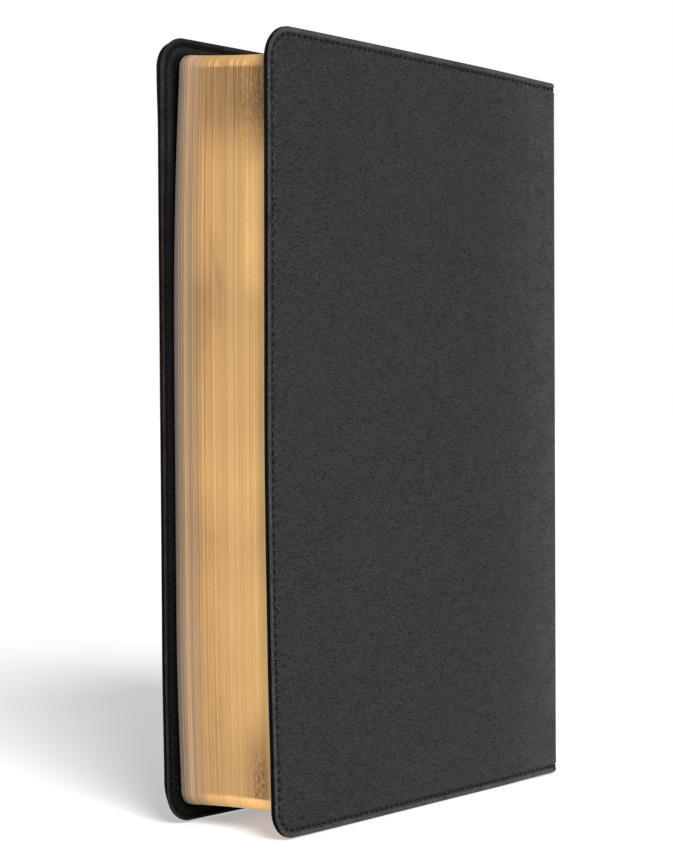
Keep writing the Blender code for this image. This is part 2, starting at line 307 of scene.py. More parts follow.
def rim_rings(profile, side):
    """Rings of (reach, height, depth) for a rim profile, with puckers at the stitches and pleats."""
    stitch_line = cover_line(STITCH_INSET, side, True)
    along = line_lengths(stitch_line)
    bridge = 0.5 + 0.5 * np.cos(2 * pi * (along / STITCH_PITCH))
    share = corner_share(len(along))
    at_fore = smoothstep(*AT_FORE_EDGE, stitch_line[:, 0])
    rings = []
    for inset, depth in profile:
        line = cover_line(inset * MM, side, depth < 1)
        level = np.full(len(line), depth)
        pull = max(0.0, 1 - abs(inset - STITCH_INSET / MM) / SEAM_WIDTH) * bridge ** 2
        if depth < 1:
            level -= OUTER_PULL * pull
            level += BEAD_ROUNDING * max(0.0, 1 - abs(inset - BEAD_MIDDLE) / BEAD_SPREAD) * at_fore
        else:
            level += INNER_PULL * pull
            reach_in = float(smoothstep(1.2, 2.6, inset) * smoothstep(8.0, 5.2, inset))
            for middle, height in PLEATS:
                level += reach_in * height * np.exp(-((share - middle) / PLEAT_WIDTH) ** 2)
        rings.append(np.column_stack([line, level * MM]))
    return rings


def wear_and_head_light(reach, height):
    """How rubbed the leather is, most at the spine, where it is held, plus painted light that grows toward
    the head.
    """
    near_spine = between(HELD_WIDTH - SPINE_ROUNDING, -SPINE_ROUNDING, reach)
    return SPINE_WEAR * near_spine ** 2 + HEAD_PAINTED_LIGHT * height / HEIGHT


def rim_wear_and_highlight(amount, held):
    """How rubbed a ring of the rim is, with its painted highlight, more where the leather round it is held
    and toward the head.
    """
    return amount * (1 + RIM_HELD * np.clip(held, 0, 1))


def add_wear_and_painted_light(obj, wear_and_painted_light):
    """Tell the leather how rubbed it is at each point, with the painted light and highlight added in."""
    obj.data.attributes.new("wear_and_painted_light", "FLOAT", "POINT").data.foreach_set("value", wear_and_painted_light)


def cover_skin(cover, side, leather, ink_and_shade):
    """One cover's leather: outer face, puffed rim, sunk seam, two-layer edge and turned-in rim."""
    rings = rim_rings(OUTER_RIM + EDGE_GROOVE + INNER_RIM, side)
    columns = len(rings[0])
    dense = np.vstack(rings)
    faces = grid_faces(len(rings), columns)
    slots = []
    for row in range(len(rings) - 1):
        slots += [int(row >= FIRST_INK_AND_SHADE_ROW)] * (columns - 1)
    # The flat of the outer face has fewer points, so a row of wider faces joins it to the rim.
    coarse = [cover_line(inset * MM, side, True)[::COARSE] for inset in SKIN_INSETS]
    coarse_columns, first = len(coarse[0]), len(dense)
    for column in range(coarse_columns - 1):
        near = [column * COARSE + step for step in range(COARSE, -1, -1)]
        faces.append((*near, first + column, first + column + 1))
    faces += grid_faces(len(coarse), coarse_columns, first)
    # Three faces close the skin: the flat's middle, the hidden back, and the seam with the hinge.
    faces += [row_face(len(coarse) - 1, coarse_columns, first), row_face(len(rings) - 1, columns)]
    flat_tail, flat_head = row_ends(len(coarse), coarse_columns, first)
    rim_tail, rim_head = row_ends(len(rings), columns)
    faces.append((*flat_tail[::-1], *rim_tail, *rim_head[::-1], *flat_head))
    slots += [0] * (len(faces) - len(slots))
    points = np.vstack([dense, *[np.column_stack([line, 0 * line[:, 0]]) for line in coarse]])
    skin = cover_piece(cover + "_skin", side, points, faces, [leather, ink_and_shade], slots, 60)
    # Rubbing, with painted light toward the head and a painted highlight on the rim's bead.
    wear_and_painted_light = wear_and_head_light(points[:, 0], points[:, 1])
    at_fore = smoothstep(*AT_FORE_EDGE, dense[:columns, 0])
    at_head = smoothstep(*AT_HEAD, dense[:columns, 1])
    rim = wear_and_painted_light[:len(dense)].reshape(-1, columns)
    for row, amount in RUBBED_AND_HIGHLIGHT_ROWS.items():
        rim[row] = rim_wear_and_highlight(amount, rim[row])
    for row, amount in LESS_AT_FORE_EDGE.items():
        rim[row] -= amount * at_fore
    if side > 0:
        for row, amount in LIGHTER_AT_HEAD.items():
            rim[row] += amount * at_head
    add_wear_and_painted_light(skin, wear_and_painted_light)
    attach(skin, cover)
    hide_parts(cover + "_leather", cover + "_board")


def cover_piece(name, side, points, faces, materials, slots, sharp):
    """A piece of a cover from points (reach, height, depth), with edges sharp past an angle in degrees."""
    reach, height, depth = points.T
    placed = place_cover(side, reach, height, depth + cover_waves(reach, height))
    return mesh_object(name, settled(placed), faces, materials, slots, sharp)


def cover_lining(cover, side, material):
    """The lining glued inside a cover, over the turned-in leather."""
    profile = (*LINING_EDGE, *[(inset, LINING_DEPTH) for inset in LINING_INSETS])
    points = []
    for inset, depth in profile:
        line = cover_line(inset * MM, side, False)[::COARSE]
        points.append(np.column_stack([line, np.full(len(line), depth * MM)]))
    rows, columns = len(points), len(points[0])
    faces = grid_faces(rows, columns)
    tail, head = row_ends(rows, columns)
    faces += [row_face(rows - 1, columns), row_face(0, columns), (*tail, *head[::-1])]
    lining = cover_piece(cover + "_lining_skin", side, np.vstack(points), faces, [material], None, 50)
    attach(lining, cover)
    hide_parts(cover + "_lining")


# ---- stitches
STITCH_RINGS, STITCH_SIDES = 9, 8
STITCH_SINK, THREAD_HEIGHT = 0.3 * MM, THREAD_WIDTH / 1.3
AHEAD = 0.1 * MM


def stitch_mesh(name, centres, tangents, ups, material):
    """Thread stitches: plump strands whose ends dip into the leather and show a twist."""
    points, faces = [], []
    for centre, tangent, up in zip(centres, tangents, ups):
        across = np.cross(tangent, up)
        faces += tube_faces(STITCH_RINGS, STITCH_SIDES, len(points))
        for share in np.linspace(-1, 1, STITCH_RINGS):
            girth = max(1 - abs(share) ** 3.5, 0.04) ** 0.5 * (1 + 0.1 * cos(9 * share))
            spot = centre + tangent * share * STITCH_LENGTH / 2 - up * STITCH_SINK * abs(share) ** 3
            for cosine, sine in circle(STITCH_SIDES):
                wide, tall = across * cosine * THREAD_WIDTH / 2, up * sine * THREAD_HEIGHT / 2
                points.append(spot + (wide + tall) * girth)
    return mesh_object(name, settled(points), faces, [material])


def unit(vectors):
    return vectors / np.linalg.norm(vectors, axis=1)[:, None]


def cover_stitches(cover, side, material):
    """The seam round one cover, on both its faces."""
    faces = (("outer", STITCH_SINK, 1), ("inner", COVER_THICKNESS - STITCH_SINK, -1))
    for face, depth, facing in faces:
        line = cover_line(STITCH_INSET, side, facing > 0)
        along = line_lengths(line)
        spots = (np.arange(int(along[-1] / STITCH_PITCH)) + 0.5) * STITCH_PITCH

        def placed(spots, depth):
            reach, height = [np.interp(spots, along, line[:, axis]) for axis in (0, 1)]
            return place_cover(side, reach, height, np.full(len(spots), depth))

        centres = placed(spots, depth)
        tangents = unit(placed(spots + AHEAD, depth) - centres)
        ups = unit(placed(spots, depth - facing * MM) - centres)
        stitches = stitch_mesh(f"{cover}_{face}_stitches", centres, tangents, ups, material)
        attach(stitches, cover)
        if face == "outer":
            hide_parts(cover + "_stitching")


# Each fold: inset and distance from the cover's end at its start, then the same at its finish, in mm.
HEAD_FOLDS = ((2.3, 8.4, 6.2, 12.4), (1.9, 12.6, 5.6, 14.8), (5.0, 5.4, 6.6, 7.9), (8.6, 2.6, 10.0, 5.6))
TAIL_FOLDS = (
    (2.2, 14.5, 5.4, 12.6), (2.6, 11.2, 5.8, 9.6), (3.6, 7.4, 6.6, 8.4), (5.4, 4.6, 7.2, 7.4),
    (7.4, 3.4, 8.6, 6.2), (9.8, 2.8, 10.4, 5.6), (12.4, 2.7, 12.8, 5.2),
)
FOLD_RINGS, FOLD_SIDES, FOLD_WIDTH, FOLD_BEND = 9, 6, 0.34 * MM, 0.35


def corner_folds(cover, side, material):
    """Thin folds left in the leather where it is turned in round a cover's two round corners."""
    edge = LINING_EDGE[0][0]
    insets, depths = zip(*[ring for ring in INNER_RIM if ring[0] < edge], (edge + 0.1, LINING_DEPTH))
    points, faces = [], []
    for folds, at_head in ((HEAD_FOLDS, True), (TAIL_FOLDS, False)):
        for fold in folds:
            faces += tube_faces(FOLD_RINGS, FOLD_SIDES, len(points))
            for ring, (inset, end) in enumerate(np.linspace(fold[:2], fold[2:], FOLD_RINGS)):
                bulge = sin(pi * ring / (FOLD_RINGS - 1))
                end += FOLD_BEND * bulge
                girth = FOLD_WIDTH / 2 * max(bulge, 0.08) ** 0.6
                depth = float(np.interp(min(inset, end), insets, depths)) * MM
                middle = HEIGHT - end * MM if at_head else end * MM
                for cosine, sine in circle(FOLD_SIDES):
                    height = middle + girth * cosine
                    points.append((COVER_REACH - inset * MM, height, depth + girth * sine))
    placed = place_cover(side, *np.array(points).T)
    folds = mesh_object(cover + "_folds", settled(placed), faces, [material])
    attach(folds, cover)


# ---- the leather over spine and hinges
SPINE_HALF = SPINE_THICKNESS / 2 - SPINE_CORNER
INNER_DEPTH, SPINE_SINK = 1.3 * MM, 0.2 * MM


def spine_out(y):
    """How far out the rounded spine reaches at y."""
    return HIGH.x - SPINE_ROUNDING * ((y - MIDDLE_PIVOT.y) / SPINE_HALF) ** 2


def corner_line(side):
    """(x, y, outward x, outward y) from the hinge seam round one spine corner to the spine's face."""
    pivot, lean = HINGES[side]
    line = []
    for reach in np.linspace(HINGE, SPINE_CORNER, 15):
        x, y = pivot.x - reach * cos(lean), pivot.y + side * reach * sin(lean)
        line.append((x, y, sin(lean), side * cos(lean)))
    for angle in np.radians(np.linspace(84, 10, 9)):
        out_x, out_y = cos(angle), side * sin(angle)
        x = pivot.x - SPINE_CORNER + SPINE_CORNER * out_x
        line.append((x, pivot.y - side * SPINE_CORNER + SPINE_CORNER * out_y, out_x, out_y))
    return line


def spine_face_line():
    """(x, y, outward x, outward y) across the spine's face from its rear corner to its front one."""
    y = MIDDLE_PIVOT.y + SPINE_HALF * np.linspace(-1, 1, 49)
    slope = 2 * SPINE_ROUNDING * (y - MIDDLE_PIVOT.y) / SPINE_HALF ** 2
    size = np.hypot(1, slope)
    return list(zip(spine_out(y), y, 1 / size, slope / size))


def skin_strip(name, line, leather, ink_and_shade):
    """A strip of the leather skin along a line in plan, from tail to head, closed all round."""
    heights, inner_from, inner_to = rim_heights()
    rows = len(heights)
    points = np.array([
        (x - out_x * depth, y - out_y * depth, height)
        for x, y, out_x, out_y in line for height, depth in heights
    ])
    slots = [int(inner_from <= step < inner_to) for step in range(rows)] * (len(line) - 1) + [0, 0]
    strip = mesh_object(name, settled(points), tube_faces(len(line), rows), [leather, ink_and_shade], slots, 60)
    # Rubbing, with painted light toward the head and a painted highlight on the rim's bead.
    wear_and_painted_light = wear_and_head_light(REAR_PIVOT.x - points[:, 0], points[:, 2]).reshape(-1, rows)
    for row, amount in RUBBED_AND_HIGHLIGHT_ROWS.items():
        if row < FIRST_INK_AND_SHADE_ROW:
            for place in (inner_from - FIRST_INK_AND_SHADE_ROW + row, inner_to + FIRST_INK_AND_SHADE_ROW - row):
                wear_and_painted_light[:, place] = rim_wear_and_highlight(amount, wear_and_painted_light[:, place])
    add_wear_and_painted_light(strip, wear_and_painted_light.ravel())
    return strip


def rim_heights():
    """(height, depth) round the skin's section, and where in that loop its darker face, edge ink and
    painted shade, begins and ends.
    """
    tail = [(inset * MM, depth * MM) for inset, depth in OUTER_RIM + EDGE_GROOVE + INNER_RIM]
    loop = [(HEIGHT / 2 - step * 10 * MM, 0.0) for step in range(11)]
    inner_from = len(loop) + FIRST_INK_AND_SHADE_ROW
    loop += tail
    loop += [(height, INNER_DEPTH) for height in np.linspace(12 * MM, HEIGHT - 12 * MM, 12)]
    loop += [(HEIGHT - inset, depth) for inset, depth in tail[::-1]]
    inner_to = len(loop) - FIRST_INK_AND_SHADE_ROW - 1
    loop += [(HEIGHT / 2 + step * 10 * MM, 0.0) for step in range(10, 0, -1)]
    return loop, inner_from, inner_to


def bend_over(piece, side, half_width=2.6 * MM):
    """Bake a piece's place into its mesh, for the rear hinge (-1), the front hinge (1) or the middle of
    the spine (0); nothing is bent.
    """
    if side == 0:
        half = Vector((0, half_width, 0))
        MIDDLE_PIVOT - half
        MIDDLE_PIVOT + half
        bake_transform(piece)
        return
    pivot, lean = HINGES[side]
    along = Vector((-cos(lean), side * sin(lean), 0))
    start, end = pivot + along * 1.5 * MM, pivot + along * (HINGE - 0.6 * MM)
    bodies = ("front_block", "front_cover") if side > 0 else ("root", "rear_cover")
    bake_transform(piece)


def make_spine(leather, ink_and_shade, thread):
    """Rear hinge, spine face and front hinge as strips of skin, and their stitches."""
    rear, front, middle = corner_line(-1), corner_line(1), spine_face_line()
    for name, line, side in (
        ("rear_hinge_skin", rear + middle[:2], -1), ("front_hinge_skin", front + middle[:-3:-1], 1),
        ("spine_skin", middle[1:-1], 0),
    ):
        strip = skin_strip(name, line, leather, ink_and_shade)
        bend_over(strip, side)
        if side == 0:
            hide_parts("spine_leather")
    for line, label, side in ((rear, "rear_hinge", -1), (front, "front_hinge", 1), (middle, "spine", 0)):
        spine_stitches(line, label, side, thread)


def spine_stitches(line, label, side, material):
    """Stitches at head and tail along one stretch of the spine's skin."""
    line = np.array(line)
    along = line_lengths(line[:, :2])
    count = max(1, round(along[-1] / STITCH_PITCH))
    spots = (np.arange(count) + 0.5) * along[-1] / count
    x, y, out_x, out_y = [np.interp(spots, along, values) for values in line.T]
    ups = unit(np.stack([out_x, out_y, 0 * x], axis=-1))
    ahead = np.stack([-ups[:, 1], ups[:, 0], 0 * x], axis=-1)
    centres = [
        np.stack([x, y, 0 * x + height], axis=-1) - ups * SPINE_SINK
        for height in (STITCH_INSET, HEIGHT - STITCH_INSET)
    ]
    stitches = stitch_mesh(
        label + "_stitches", np.vstack(centres), np.vstack([ahead] * 2), np.vstack([ups] * 2), material
    )
    if side == 0:
        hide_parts("spine_head_stitching", "spine_tail_stitching")
    bend_over(stitches, side)


# ---- the text block
PAGE_EDGE_STEPS = (22, 13, 62)
# Half of the gap between two layers of the CAD block, which the leaves close up.
HALF_GAP = 0.1 * MM
# How far the leaves are drawn in at the fore edge: everywhere, more at the head, more at the tail.
DRAW, HEAD_DRAW, TAIL_DRAW = 0.75 * MM, 2.7 * MM, 1.0 * MM
DRAWN_HEAD, DRAWN_TAIL = (HEIGHT - 94 * MM, HEIGHT - 12 * MM), (66 * MM, 8 * MM)
BLOCK_OUT = (BLOCK_HIGH.x, BLOCK_LOW.x)
# How far the leaves rise at the head and fall at the tail of the block's front, and how much less than
# that everywhere, in millimetres.
RISE, RISE_LESS, FALL, FALL_LESS = 2.3, 1.35, 1.45, 0.15
# Where a leaf's edge has its points through its thickness, how far its fore edge strays, and the notch
# between two leaves, in millimetres.
LEAF_LEVELS, LEAST_LOOSE, STRAY, NOTCH, NOTCH_MORE = (0.1, 0.5, 0.86, 1.0), 0.15, 0.05, 0.05, 0.16
END_INSET, LEAF_ROUNDING, FOLD_ROUNDING = 1.3, 0.02, 0.55 * MM
LEAF_STEPS, LEAF_BEND, FLYLEAF_INSET = (44, 41), 13 * MM, 0.3 * MM


def page_ring(fore, spine, inset, fold):
    """One leaf's outline (x, z) from the head of its fold, by the fore edge, to the tail of its fold."""
    along, arc, down = PAGE_EDGE_STEPS
    fore, spine = fore + inset, spine - fold
    tail, head = BLOCK_LOW.z + inset, BLOCK_HIGH.z - inset
    turn = np.radians(np.linspace(0, 90, arc))[:, None]
    centre = (fore + BLOCK_CORNER, head - BLOCK_CORNER)
    head_line = np.linspace((spine, head), (centre[0], head), along, endpoint=False)
    head_arc = centre + BLOCK_CORNER * np.hstack([-np.sin(turn), np.cos(turn)])
    fore_line = np.linspace((fore, centre[1]), (fore, tail + BLOCK_CORNER), down)[1:-1]
    upper = np.vstack([head_line, head_arc])
    lower = (upper * (1, -1) + (0, head + tail))[::-1]
    return np.vstack([upper, fore_line, lower])


def block_share(name):
    """How far through the text block a layer's two faces are at the spine, 0 rear to 1 front."""
    corners = np.array([vertex.co for vertex in frame["nodes"][name].data.vertices])
    ys = corners[corners[:, 0] > corners[:, 0].max() - 1 * MM][:, 1]
    inner = LOW.y + COVER_THICKNESS
    return (ys.min() - inner - HALF_GAP) / BLOCK_DEPTH, (ys.max() - inner + HALF_GAP) / BLOCK_DEPTH


def fanned(share, x, z=HEIGHT / 2):
    """The y of a level through the block: levels spread to the fore edge and draw in at head and tail."""
    spread = tan(SPLAY) * (FRONT_PIVOT.x - x)
    head, tail = between(*DRAWN_HEAD, z) ** 2, between(*DRAWN_TAIL, z) ** 2
    draw = (DRAW + HEAD_DRAW * head + TAIL_DRAW * tail) * between(*BLOCK_OUT, x) ** 2 * share ** 2
    return LOW.y + COVER_THICKNESS + share * (BLOCK_DEPTH + spread) - draw


def block_points(share, x, z):
    """Points of a level through the block, whose loose fore corners spread toward the front cover."""
    rise = smoothstep(0.6, 1.0, z / HEIGHT) * (RISE * share - RISE_LESS)
    fall = smoothstep(0.4, 0.0, z / HEIGHT) * (FALL * share - FALL_LESS)
    height = z + (rise - fall) * MM * between(*BLOCK_OUT, x)
    return np.stack([x, fanned(share, x, z), height], axis=-1)


def make_section(name, body, gilt, paper, rng):
    """A sewn section: folded leaves with slightly uneven edges, the fold rounded."""
    low_share, high_share = block_share(name)
    box_low, box_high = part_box(name)
    loose = LEAST_LOOSE + (1 - LEAST_LOOSE) * ((low_share + high_share) / 2) ** 4
    levels, insets = [0.0, 0.0], [END_INSET, 0.0]
    for leaf in range(LEAVES_PER_SECTION):
        out = float(rng.normal(0, STRAY)) * loose
        notch = out + (NOTCH + NOTCH_MORE * rng.random()) * loose
        levels += [(leaf + share) / LEAVES_PER_SECTION for share in LEAF_LEVELS]
        insets += [out + LEAF_ROUNDING, out, out + LEAF_ROUNDING, notch]
    levels, insets = [*levels, 1.0], [*insets, END_INSET]
    insets[1], insets[-2] = insets[2] + 0.03, insets[-3] + 0.03
    points, shares, distances = [], [], []
    for level, inset in zip(levels, insets):
        bulge = sqrt(max(0.0, 1 - (2 * level - 1) ** 2))
        ring = page_ring(box_low.x, box_high.x, inset * MM, FOLD_ROUNDING * (1 - bulge))
        share = low_share + (high_share - low_share) * level
        points.append(block_points(share, *ring.T))
        shares.append(np.full(len(ring), share))
        distances.append(line_lengths(ring))
    rows, columns = len(points), len(points[0])
    faces = grid_faces(rows, columns, close_columns=True)
    slots = ([0] * (columns - 1) + [1]) * (rows - 1)
    # The outermost leaves' own faces: quads from head to tail, and one more face along the fore edge.
    straight = PAGE_EDGE_STEPS[0] + PAGE_EDGE_STEPS[1]
    for first in (0, (rows - 1) * columns):
        faces += across_faces(columns, straight, first)
        faces.append(tuple(range(first + straight, first + columns - straight)))
    slots += [1] * (len(faces) - len(slots))
    section = leaf_mesh(name + "_leaves", points, faces, [gilt, paper], slots, distances, shares)
    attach(section, body)
    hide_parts(name)


def leaf_mesh(name, points, faces, materials, slots, distances, levels):
    """Leaves with a map that runs along a leaf's edge in metres, and through the block from 0 to 1."""
    leaves = mesh_object(name, settled(np.vstack(points)), faces, materials, slots, 40)
    corners = np.zeros(len(leaves.data.loops), int)
    leaves.data.loops.foreach_get("vertex_index", corners)
    values = np.column_stack([np.concatenate(distances), np.concatenate(levels)])[corners]
    leaves.data.uv_layers.new(name="leaf").data.foreach_set("uv", values.ravel())
    return leaves


def make_leaf(name, node, pivot, gilt, paper):
    """One leaf, with gilt on its three free edges."""
    shares = block_share(node)
    box_low, box_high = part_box(node)
    across, ups = LEAF_STEPS
    fore = box_low.x + (0.0 if "centre" in node else FLYLEAF_INSET)
    xs = box_high.x + (fore - box_high.x) * (1 - (1 - np.linspace(0, 1, across)) ** 1.7)
    past = np.clip(fore + BLOCK_CORNER - xs, 0, BLOCK_CORNER)
    cut = BLOCK_CORNER - np.sqrt(BLOCK_CORNER ** 2 - past ** 2)
    outline = line_lengths(page_ring(fore, box_high.x, 0, 0))[-1]
    points, levels, distances = [], [], []
    for share in shares:
        for x, gone, inset in zip(xs, past, cut):
            z = np.linspace(BLOCK_LOW.z + inset, BLOCK_HIGH.z - inset, ups)
            points.append(block_points(share, 0 * z + x, z))
            levels.append(0 * z + share)
            reach = box_high.x - max(x, fore + BLOCK_CORNER) + BLOCK_CORNER * asin(gone / BLOCK_CORNER)
            distances.append(np.where(z > HEIGHT / 2, reach + z[-1] - z, outline - (reach + z - z[0])))
    layer = across * ups
    faces = grid_faces(across, ups) + grid_faces(across, ups, layer)
    slots = [1] * len(faces)
    rows = np.arange(layer).reshape(across, ups)
    border = [*rows[:, 0], *rows[-1, 1:], *rows[-2::-1, -1], *rows[0, -2:0:-1]]
    border = [int(corner) for corner in border]
    for here, after in zip(border, border[1:] + border[:1]):
        faces.append((here, after, after + layer, here + layer))
    slots += [0] * len(border)
    leaf = leaf_mesh(name, points, faces, [gilt, paper], slots, distances, levels)
    middle, end_x = sum(shares) / 2, box_high.x - LEAF_BEND
    start = (box_high.x, fanned(middle, box_high.x), pivot.z)
    fanned(middle, end_x)
    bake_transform(leaf)
    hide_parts(node)
    "gilt_pages" if "centre" in node else "endpaper"


def make_text_block(gilt, paper, endpaper):
    rng = np.random.default_rng(11)
    for half, body in (("rear", "root"), ("front", "front_block")):
        for number in range(1, SECTIONS_PER_HALF + 1):
            make_section(f"{half}_section_{number:02d}", body, gilt, paper, rng)
    for number in range(1, CENTRE_LEAVES + 1):
        node = f"centre_leaf_{number}"
        make_leaf(node + "_page", node, MIDDLE_PIVOT, gilt, paper)
    for label, body, pivot in (("front", "front_block", FRONT_PIVOT), ("rear", "root", REAR_PIVOT)):
        node = label + "_flyleaf"
        make_leaf(node + "_page", node, pivot, gilt, endpaper)


# ---- cloth, paper and bands at the spine
INNER_BEND = 1.6 * MM
LAYER_THICKNESS, LAYER_STEPS, LAYER_ROWS = 0.25 * MM, 57, 12
BAND_TURNS, BAND_SIDES, BAND_END, BAND_RIDGE = 150, 12, 0.3 * MM, 0.1


def spine_layer(name, node, material):
    """The mull or the lining paper across the spine."""
    low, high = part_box(node)
    plan = []
    for depth, ends in ((0.0, (low.y, high.y)), (LAYER_THICKNESS, (high.y, low.y))):
        plan += [(spine_out(y) - (HIGH.x - high.x) - depth, y) for y in np.linspace(*ends, LAYER_STEPS)]
    points = [(x, y, z) for z in np.linspace(low.z, high.z, LAYER_ROWS) for x, y in plan]
    faces = grid_faces(LAYER_ROWS, len(plan), close_columns=True)
    for start in (0, (LAYER_ROWS - 1) * len(plan)):
        faces += across_faces(len(plan), LAYER_STEPS - 1, start)
    layer = mesh_object(name, points, faces, [material], sharp=50)
    bend_over(layer, 0, INNER_BEND)
    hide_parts(node)


def headband(name, node, material):
    """A cord wound with thread across the folds at one end of the spine."""
    low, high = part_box(node)
    height, radius = (low.z + high.z) / 2, (high.z - low.z) / 2
    points = []
    for step, y in enumerate(np.linspace(low.y + BAND_END, high.y - BAND_END, BAND_TURNS)):
        x = spine_out(y) - (HIGH.x - high.x) - radius
        girth = radius * (1 - BAND_RIDGE + BAND_RIDGE * cos(pi * step))
        points += [(x + girth * cosine, y, height + girth * sine) for cosine, sine in circle(BAND_SIDES)]
    band = mesh_object(name, points, tube_faces(BAND_TURNS, BAND_SIDES), [material])
    bend_over(band, 0, INNER_BEND)
    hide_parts(node)


# ---- materials
class Value:
    """A number or colour that nodes work out, with ordinary arithmetic on it."""

    def __init__(self, nodes, socket):
        self.nodes, self.socket = nodes, socket

    def __add__(self, other):
        return self.nodes.math("ADD", self, other)

    def __sub__(self, other):
        return self.nodes.math("SUBTRACT", self, other)

    def __rsub__(self, other):
        return self.nodes.math("SUBTRACT", other, self)

    def __mul__(self, other):
        return self.nodes.math("MULTIPLY", self, other)

    def at_least(self, other):
        return self.nodes.math("MAXIMUM", self, other)


class Nodes:
    """A short way to write the nodes and links of a material or a world."""

    def __init__(self, owner):
        owner.use_nodes = True
        self.owner, self.tree = owner, owner.node_tree

    def put(self, value, socket):
        if isinstance(value, Value):
            self.tree.links.new(value.socket, socket)
        else:
            socket.default_value = value

    def add(self, kind, output, inputs=(), **settings):
        """Add a shader node with its inputs and settings, and give one of its outputs."""
        node = self.tree.nodes.new("ShaderNode" + kind)
        for key, value in settings.items():
            setattr(node, key, value)
        for key, value in dict(inputs).items():
            self.put(value, node.inputs[key])
        return Value(self, node.outputs[output])

    def place(self):
        return self.add("TexCoord", "Object")

    def part(self, vector, axis):
        return self.add("SeparateXYZ", axis, {"Vector": vector})

    def math(self, operation, a, b):
        return self.add("Math", 0, {0: a, 1: b}, operation=operation)

    def noise(self, vector, scale, detail=3.0, roughness=0.55, distortion=0.0):
        inputs = {"Vector": vector, "Scale": scale, "Detail": detail, "Roughness": roughness}
        return self.add("TexNoise", "Fac", {**inputs, "Distortion": distortion})

    def streaks(self, vector, scale, detail=2.0, roughness=0.6, distortion=0.0):
        """Noise stretched by its own scale along each axis."""
        stretched = self.add("Mapping", "Vector", {"Vector": vector, "Scale": scale})
        return self.noise(stretched, 1.0, detail, roughness, distortion)

    def wave(self, vector, scale, distortion, detail, direction):
        inputs = {"Vector": vector, "Scale": scale, "Distortion": distortion, "Detail": detail}
        return self.add("TexWave", "Fac", inputs, bands_direction=direction)

    def rise(self, value, low, high, curve="SMOOTHSTEP"):
        """From 0 where the value is low to 1 where it is high."""
        inputs = {"Value": value, "From Min": low, "From Max": high}
        return self.add("MapRange", "Result", inputs, interpolation_type=curve)

    def ramp(self, factor, stops):
        colour = self.add("ValToRGB", "Color", {"Fac": factor})
        elements = colour.socket.node.color_ramp.elements
        while len(elements) < len(stops):
            elements.new(0.5)
        for element, (position, stop) in zip(elements, stops):
            element.position, element.color = position, (*stop, 1.0)
        return colour

    def mix(self, factor, a, b):
        return self.add("Mix", 2, {0: factor, 6: a, 7: b}, data_type="RGBA")

    def bump(self, height, distance, strength=1.0):
        inputs = {"Height": height, "Distance": distance, "Strength": strength}
        return self.add("Bump", "Normal", inputs)

    def finish(self, **inputs):
        """Set the material's shader and give the material."""
        for key, value in inputs.items():
            self.put(value, self.tree.nodes["Principled BSDF"].inputs[key.replace("_", " ")])
        return self.owner


def material_nodes(name):
    return Nodes(bpy.data.materials.new(name))


# Features of the grain in a metre, the slant of its creases, and how far in metres its pebbles wander.
PEBBLES, CREASES, SLANT, WANDER = 1050.0, (650.0, 1500.0, 1900.0), (0.0, radians(-32), 0.0), 0.0016
RUBBED_MOST = 0.55


def leather_material(name, dark, light, worn_and_lit, roughness, grain_depth, shine):
    """Black leather: a fine pebble, short slanting creases, and faint rubbed patches that also carry
    painted light, with painted shade darkening the creases and the pebbles' edges.
    """
    n = material_nodes(name)
    place = n.place()
    drift = n.add("TexNoise", "Color", {"Vector": place, "Scale": 240.0, "Detail": 2.0})
    push = n.add("VectorMath", 0, {0: drift, 1: (-0.5, -0.5, -0.5)}, operation="ADD")
    push = n.add("VectorMath", 0, {0: push, "Scale": WANDER}, operation="SCALE")
    spot = n.add("VectorMath", 0, {0: place, 1: push}, operation="ADD")
    cells = {"Vector": spot, "Scale": PEBBLES, "Randomness": 1.0}
    edge = n.add("TexVoronoi", "Distance", cells, feature="DISTANCE_TO_EDGE")
    pebble = n.rise(edge, 0.0, 0.14, "LINEAR")
    slant = {"Vector": spot, "Rotation": SLANT, "Scale": CREASES}
    ridges = n.noise(n.add("Mapping", "Vector", slant), 1.0, 1.0, 0.5)
    crease = n.rise(ridges, 0.33, 0.45, "LINEAR")
    shown = n.rise(n.noise(place, 260, 2), 0.28, 0.46, "LINEAR")
    crease = crease.at_least(1.0 - shown)
    fine, broad, patches = n.noise(place, 1900, 2, 0.6), n.noise(place, 300, 3, 0.6), n.noise(place, 24, 4)
    height = pebble * 0.4 + fine * 0.5 + broad * 0.9 + crease * 0.5
    # The tone darkens in the creases and at the pebbles' edges: painted shade in the grain's hollows.
    tone = patches * 0.16 + pebble * 0.15 + crease * 0.34 + fine * 0.5
    colour = n.ramp(tone, ((0.3, dark), (0.5, tuple(0.45 * value for value in light)), (0.9, light)))
    wear_and_painted_light = n.add("Attribute", "Fac", attribute_name="wear_and_painted_light")
    # Mix toward the rubbed colour where the leather is rubbed and where light and highlights are painted
    # on.
    colour = n.mix(wear_and_painted_light * (n.noise(place, 170, 2) * RUBBED_MOST), colour, (*worn_and_lit, 1))
    return n.finish(
        Base_Color=colour, Roughness=broad * 0.14 + (roughness - 0.07), Normal=n.bump(height, grain_depth),
        Specular_IOR_Level=shine,
    )


